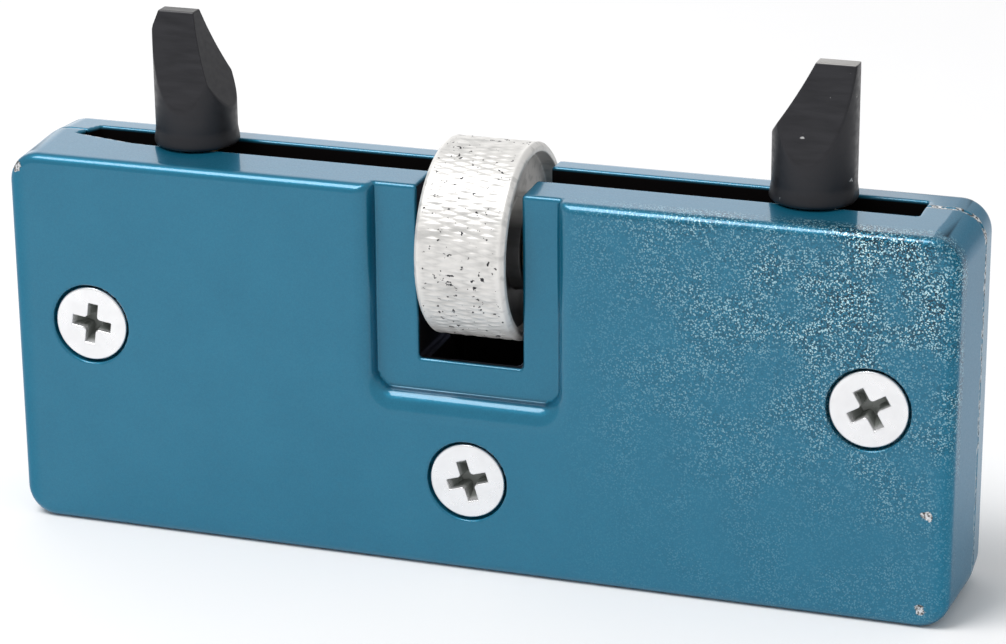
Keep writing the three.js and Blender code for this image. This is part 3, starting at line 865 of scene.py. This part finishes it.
def carriage(centre):
    """A tapped block with a round collar that slides in the slot, and a post for the claw."""
    def field(x, y, z):
        u, v = x - centre, y - SLOT_Y
        block_top = TOP_Z - TOP_WALL - 0.15
        outline = rectangle(u, z, (-CARRIAGE_HALF, CARRIAGE_HALF), (CARRIAGE_LOW[2], block_top), 0.3)
        block = both(outline, span(y, CARRIAGE_LOW[1], CARRIAGE_HIGH[1]), 0.25)
        collar = rod(u, v, z, COLLAR_RADIUS, block_top - 1, TOP_Z - 0.2, 0.12)
        post = rod(u, v, z, POST_RADIUS, block_top, CARRIAGE_HIGH[2], 0.2)
        solid = either(either(block, collar, 0.05), post, 0.05)
        return without(solid, length(y, z - AXLE_Z) - SCREW_RADIUS - 0.05, 0.15)
    return field


def ground_flat(across, drop, reach, height):
    """A plane that leaves the top at across = reach and meets the shank drop below the top."""
    slope = math.atan((CLAW_SHANK - reach) / drop)
    return (across - reach) * math.cos(slope) + (height - CLAW_HIGH[2]) * math.sin(slope)


def hollow_slant(across, reach, drop, hollow, height):
    """A hollow of that radius from across = reach at the top to the shank drop below it."""
    wide = CLAW_SHANK - reach
    chord = math.hypot(wide, drop)
    stand = math.sqrt(hollow ** 2 - (chord / 2) ** 2)
    centre_across = reach + wide / 2 + stand * drop / chord
    centre_height = CLAW_HIGH[2] - drop / 2 + stand * wide / chord
    return hollow - length(across - centre_across, height - centre_height)


def claw(centre, inward, grind):
    """A turned shank with a slightly flared foot, ground to a thin blade on the side away from the wheel."""
    foot_radius = (CLAW_HIGH[0] - CLAW_LOW[0]) / 2
    tip_inner, slant_drop, slant_hollow, corner_loss = grind

    def field(x, y, z):
        u, v = (x - centre) * inward, y - SLOT_Y
        radius = CLAW_SHANK + (foot_radius - CLAW_SHANK) * ease((CLAW_LOW[2] + 1.2 - z) / 1.0)
        body = both(length(u, v) - radius, CLAW_LOW[2] - z, 0.2)
        body = both(body, z - CLAW_HIGH[2], 0.06)
        for side in (-1, 1):
            body = both(body, ground_flat(v * side, WEDGE_DROP, BLADE_HALF, z), 0.09)
        body = both(body, hollow_slant(u, tip_inner, slant_drop, slant_hollow, z), 0.07)
        body = both(body, ground_flat(-u, CORNER_DROP, CLAW_SHANK - corner_loss, z), 0.07)
        post_hole = rod(u, v, z, POST_RADIUS + 0.05, CLAW_LOW[2] - 1, CARRIAGE_HIGH[2] + 0.2)
        set_screw_hole = both(length(x - centre, z - SET_SCREW_Z) - 0.83, -v)
        return without(without(body, post_hole, 0.1), set_screw_hole, 0.08)
    return field
def claw_set_screw(centre, low, high):
    """A headless screw with a hexagon socket."""
    def field(x, y, z):
        u, v = x - centre, z - SET_SCREW_Z
        body = rod(u, v, y, SET_SCREW_RADIUS, low[1], high[1], 0.1)
        hexagon = np.maximum(abs(u), np.maximum(abs(u * 0.5 + v * 0.866), abs(u * 0.5 - v * 0.866))) - 0.42
        return without(body, both(hexagon, high[1] - 0.6 - y), 0.05)
    return field


def add_jaws():
    step = 0.08
    for side, sign in SIDES.items():
        body = f"{side}_jaw"
        node = f"carriage_{side}"
        centre = middle(node)[0]
        low, high = extent(node)
        fit(carved(f"{node}_block", carriage(centre), low, high, step * 1.5, 0.25), node, body, "brass")
        node = f"claw_{side}"
        low, high = extent(node)
        piece = carved(f"{node}_ground", claw(centre, -sign, GRINDS[side]), low, high, step, 0.3)
        fit(piece, node, body, "black_oxide")
        node = f"claw_set_screw_{side}"
        low, high = extent(node)
        piece = carved(f"{node}_socket", claw_set_screw(centre, low, high), low, high, 0.05, 0.4)
        fit(piece, node, body, "black_oxide")


# ---- floor, light and camera --------------------------------------------------------------------

CAMERA_TARGET = (0.621, 0.6, 15.749)
CAMERA_DISTANCE = 228.761
CAMERA_AZIMUTH = math.radians(18.814)
CAMERA_ELEVATION = math.radians(19.722)
CAMERA_ROLL = math.radians(-0.486)
CAMERA_LENS = 121.906
SENSOR_WIDTH = 36.0


def add_camera():
    back = Vector((math.sin(CAMERA_AZIMUTH) * math.cos(CAMERA_ELEVATION),
                   -math.cos(CAMERA_AZIMUTH) * math.cos(CAMERA_ELEVATION),
                   math.sin(CAMERA_ELEVATION)))
    level_right = Vector((math.cos(CAMERA_AZIMUTH), math.sin(CAMERA_AZIMUTH), 0))
    level_up = back.cross(level_right)
    right = level_right * math.cos(CAMERA_ROLL) + level_up * math.sin(CAMERA_ROLL)
    up = back.cross(right)
    data = bpy.data.cameras.new("camera")
    data.lens = CAMERA_LENS
    data.sensor_width = SENSOR_WIDTH
    data.clip_start = 0.01
    camera = bpy.data.objects.new("camera", data)
    camera.matrix_world = Matrix.Translation((Vector(CAMERA_TARGET) + back * CAMERA_DISTANCE) * MM) @ Matrix(
        (right, up, back)).transposed().to_4x4()
    bpy.context.scene.collection.objects.link(camera)
    bpy.context.scene.camera = camera


def add_floor():
    mesh = bpy.data.meshes.new("floor")
    mesh.from_pydata([(-3, -3, 0), (3, -3, 0), (3, 3, 0), (-3, 3, 0)], [], [(0, 1, 2, 3)])
    floor = bpy.data.objects.new("floor", mesh)
    bpy.context.scene.collection.objects.link(floor)
    paper = Material("paper", roughness=0.9)
    paper.link(paper.mix(paper.noise(40, 2), (0.90, 0.90, 0.905), (0.92, 0.92, 0.925)), "Base Color")
    mesh.materials.append(paper.data)


# Each lamp: direction from the object, its distance in metres, its power in watts and its side in metres.
WORLD_STRENGTH = 0.6
LAMPS = {
    "key": ((-0.30, -0.34, 0.89), 0.6, 2.5, 0.3),
    "backdrop": ((-0.50, 0.80, 0.30), 0.8, 1.1, 0.65),
}


def add_lamp(name, direction, distance, power, side):
    data = bpy.data.lights.new(name, "AREA")
    data.size = side
    data.energy = power
    lamp = bpy.data.objects.new(name, data)
    towards = Vector(direction).normalized()
    lamp.location = towards * distance + Vector((0, 0, 0.015))
    lamp.rotation_euler = (-towards).to_track_quat("-Z", "Y").to_euler()
    bpy.context.scene.collection.objects.link(lamp)


def add_light():
    world = bpy.data.worlds.new("studio")
    world.use_nodes = True
    world.node_tree.nodes["Background"].inputs["Color"].default_value = (1, 1, 1, 1)
    world.node_tree.nodes["Background"].inputs["Strength"].default_value = WORLD_STRENGTH
    bpy.context.scene.world = world
    for name, settings in LAMPS.items():
        add_lamp(name, *settings)
    bpy.context.scene.view_settings.view_transform = "Standard"


add_camera()
add_floor()
add_light()
add_shells()
add_cover_screws()
add_dowels()
add_end_bearings()
add_wheel()
add_lead_screw()
add_wheel_pin()
add_thrust_washers()
add_jaws()
